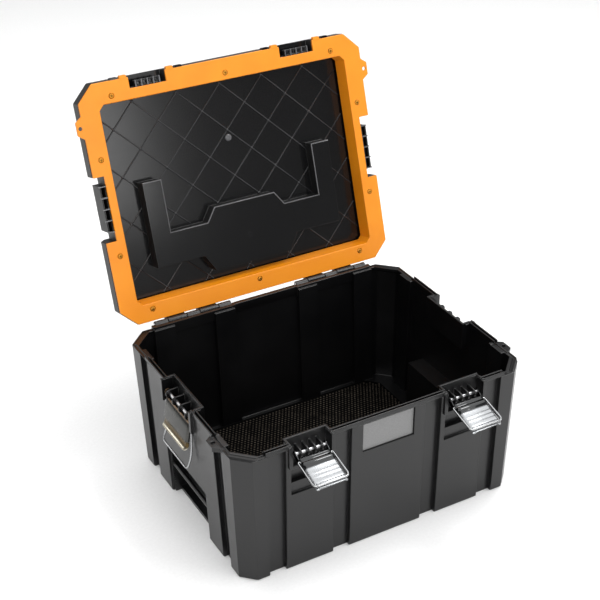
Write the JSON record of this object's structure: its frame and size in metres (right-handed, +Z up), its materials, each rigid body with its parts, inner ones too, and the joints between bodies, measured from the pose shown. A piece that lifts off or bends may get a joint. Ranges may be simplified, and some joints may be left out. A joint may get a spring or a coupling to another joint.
{
  "type": "stackable tool case",
  "caption": "Lidded plastic tool case with raised wall panels, an orange lid frame on a rear hinge, over-centre wire latches, side grips and a folding top handle.",
  "frame": {"origin": "centre of the box's underside", "axes": "+Z up, -Y to the front with its two latches, +X to the right"},
  "size_m": [0.4604, 0.5357, 0.5354],
  "materials": {
    "black_shell": "fine moulded grain, satin",
    "black_lid": "fine moulded grain, satin",
    "black_handle": "fine moulded grain, satin",
    "orange": "moulded, satin",
    "mat": "dotted anti-slip",
    "label": "blank printed film",
    "steel": "zinc plated",
    "latch_plate": "bright zinc plated",
    "latch_wire": "bright zinc plated",
    "screw": "yellow passivated"
  },
  "bodies": {
    "base": {"base_shell": "black_shell", "floor_mat": "mat", "label_plate": "label", "hinge_pin_left": "steel", "hinge_pin_right": "steel", "latch_pin_front_left": "steel", "latch_pin_front_right": "steel", "latch_pin_side_left": "steel", "latch_pin_side_right": "steel"},
    "lid": {"lid_shell": "black_lid", "lid_frame": "orange", "handle_pin_left": "steel", "handle_pin_right": "steel", "lid_screw_1": "screw", "lid_screw_2": "screw", "lid_screw_3": "screw", "lid_screw_4": "screw", "lid_screw_5": "screw", "lid_screw_6": "screw", "lid_screw_7": "screw", "lid_screw_8": "screw", "lid_screw_9": "screw", "lid_screw_10": "screw"},
    "handle": {"carry_handle": "black_handle"},
    "lever_front_left": {"latch_lever_front_left": "latch_plate"},
    "lever_front_right": {"latch_lever_front_right": "latch_plate"},
    "lever_side_left": {"latch_lever_side_left": "latch_plate"},
    "lever_side_right": {"latch_lever_side_right": "latch_plate"},
    "bail_front_left": {"latch_bail_front_left": "latch_wire"},
    "bail_front_right": {"latch_bail_front_right": "latch_wire"},
    "bail_side_left": {"latch_bail_side_left": "latch_wire"},
    "bail_side_right": {"latch_bail_side_right": "latch_wire"}
  },
  "joints": [
    {"name": "lid_hinge", "type": "hinge", "parent": "base", "child": "lid", "pos_m": [0, 0.1762, 0.2035], "axis": [1, 0, 0], "range_deg": [0, 106.5]},
    {"name": "handle_swing", "type": "hinge", "parent": "lid", "child": "handle", "pos_m": [0, 0.25143, 0.37333], "axis": [1, 0, 0], "range_deg": [0, 95]},
    {"name": "lever_front_left_swing", "type": "hinge", "parent": "base", "child": "lever_front_left", "pos_m": [-0.116, -0.172, 0.187], "axis": [1, 0, 0], "range_deg": [0, 72]},
    {"name": "lever_front_right_swing", "type": "hinge", "parent": "base", "child": "lever_front_right", "pos_m": [0.116, -0.172, 0.187], "axis": [1, 0, 0], "range_deg": [0, 72]},
    {"name": "lever_side_left_swing", "type": "hinge", "parent": "base", "child": "lever_side_left", "pos_m": [-0.217, 0, 0.187], "axis": [0, 1, 0], "range_deg": [0, 75]},
    {"name": "lever_side_right_swing", "type": "hinge", "parent": "base", "child": "lever_side_right", "pos_m": [0.217, 0, 0.187], "axis": [0, -1, 0], "range_deg": [0, 75]},
    {"name": "bail_front_left_swing", "type": "hinge", "parent": "lever_front_left", "child": "bail_front_left", "pos_m": [-0.116, -0.18421, 0.18251], "axis": [-1, 0, 0], "range_deg": [0, 189.7]},
    {"name": "bail_front_right_swing", "type": "hinge", "parent": "lever_front_right", "child": "bail_front_right", "pos_m": [0.116, -0.18421, 0.18251], "axis": [-1, 0, 0], "range_deg": [0, 189.7]},
    {"name": "bail_side_left_swing", "type": "hinge", "parent": "lever_side_left", "child": "bail_side_left", "pos_m": [-0.2189, 0, 0.17413], "axis": [0, 1, 0], "range_deg": [0, 90]},
    {"name": "bail_side_right_swing", "type": "hinge", "parent": "lever_side_right", "child": "bail_side_right", "pos_m": [0.2189, 0, 0.17413], "axis": [0, -1, 0], "range_deg": [0, 90]}
  ],
  "couplings": [
    {"joint": "bail_front_left_swing", "follows": "lever_front_left_swing", "ratio": 2.634},
    {"joint": "bail_front_right_swing", "follows": "lever_front_right_swing", "ratio": 2.634}
  ]
}
